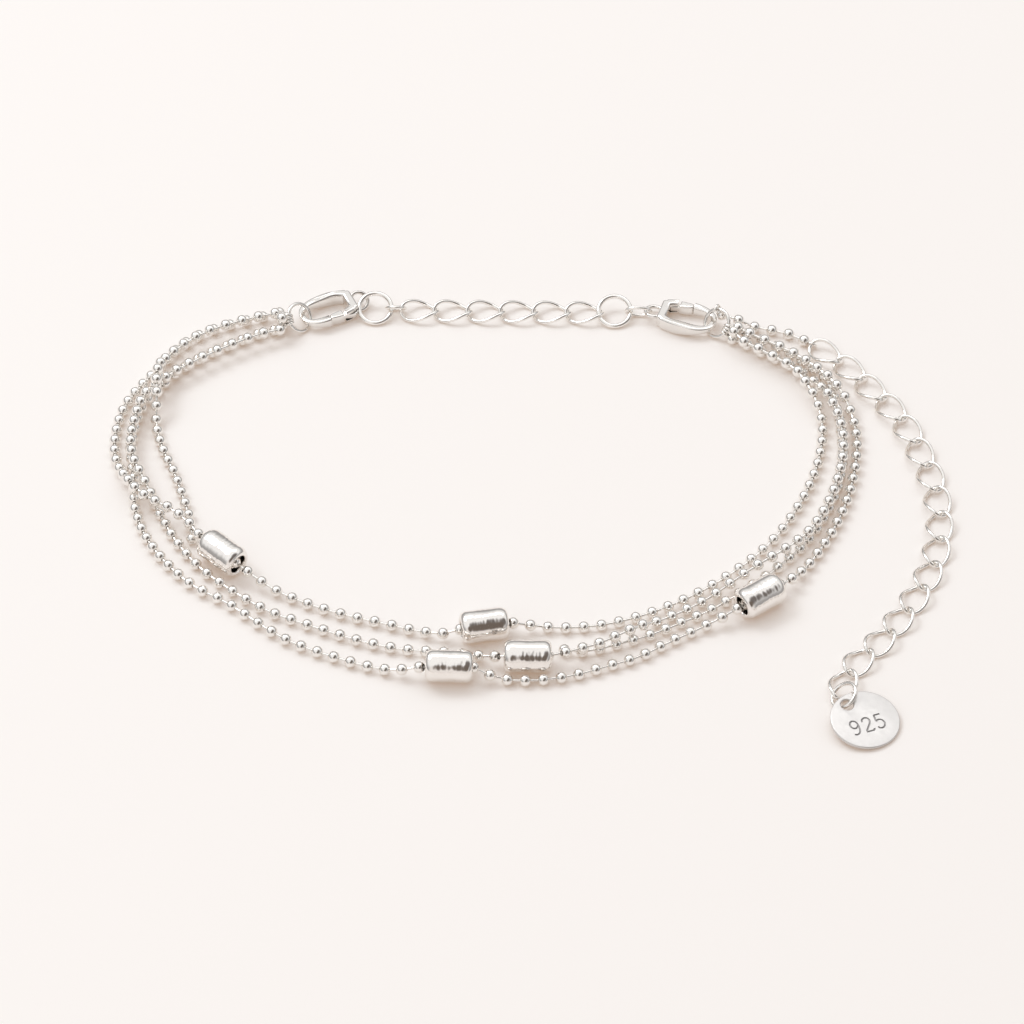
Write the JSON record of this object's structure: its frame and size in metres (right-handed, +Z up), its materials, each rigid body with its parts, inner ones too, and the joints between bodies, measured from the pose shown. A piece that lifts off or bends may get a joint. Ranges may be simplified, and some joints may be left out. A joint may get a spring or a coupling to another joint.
{
  "type": "ball chain bracelet",
  "caption": "Layered ball chain bracelet with barrel beads, lobster clasps at the back and an extension chain that ends in a round tag.",
  "frame": {"origin": "the middle of the bracelet's footprint, on the surface that it lies on", "axes": "+X along the bracelet's longest side, towards the tail's side; +Y from the beads towards the clasps; +Z up, away from the surface"},
  "size_m": [0.0774, 0.0574, 0.0033],
  "materials": {
    "polished_silver": "polished silver, bright and mirror-like",
    "satin_silver": "satin silver, finely brushed"
  },
  "bodies": {
    "bracelet": {"strand_1": "polished_silver", "strand_2": "polished_silver", "strand_3": "polished_silver", "strand_4_left": "polished_silver", "strand_4_right": "polished_silver", "bead_a": "polished_silver", "bead_b": "polished_silver", "bead_c": "polished_silver", "bead_d": "polished_silver", "bead_e": "polished_silver", "ring_left": "polished_silver", "ring_right": "polished_silver", "clasp_left_body": "polished_silver", "clasp_right_body": "polished_silver", "back_ring_left": "polished_silver", "back_ring_right": "polished_silver", "joint_ring": "polished_silver", "clasp_link": "polished_silver", "back_link_1": "polished_silver", "back_link_2": "polished_silver", "back_link_3": "polished_silver", "back_link_4": "polished_silver", "back_link_5": "polished_silver", "back_link_6": "polished_silver", "tail_ball_chain": "polished_silver", "tail_link_01": "polished_silver", "tail_link_02": "polished_silver", "tail_link_03": "polished_silver", "tail_link_04": "polished_silver", "tail_link_05": "polished_silver", "tail_link_06": "polished_silver", "tail_link_07": "polished_silver", "tail_link_08": "polished_silver", "tail_link_09": "polished_silver", "tail_link_10": "polished_silver", "tail_link_11": "polished_silver", "tail_link_12": "polished_silver", "tail_link_13": "polished_silver", "tail_link_14": "polished_silver", "tail_link_15": "polished_silver", "tail_link_16": "polished_silver", "tag_ring": "polished_silver", "tag": "satin_silver"},
    "left_lever": {"clasp_left_lever": "polished_silver"},
    "right_lever": {"clasp_right_lever": "polished_silver"}
  },
  "joints": [
    {"name": "left_lever_turn", "type": "hinge", "parent": "bracelet", "child": "left_lever", "pos_m": [-0.0165, 0.02617, 0.0007], "axis": [0, 0, -1], "range_deg": [0, 25]},
    {"name": "right_lever_turn", "type": "hinge", "parent": "bracelet", "child": "right_lever", "pos_m": [0.01317, 0.02709, 0.0007], "axis": [0, 0, -1], "range_deg": [0, 25]}
  ]
}
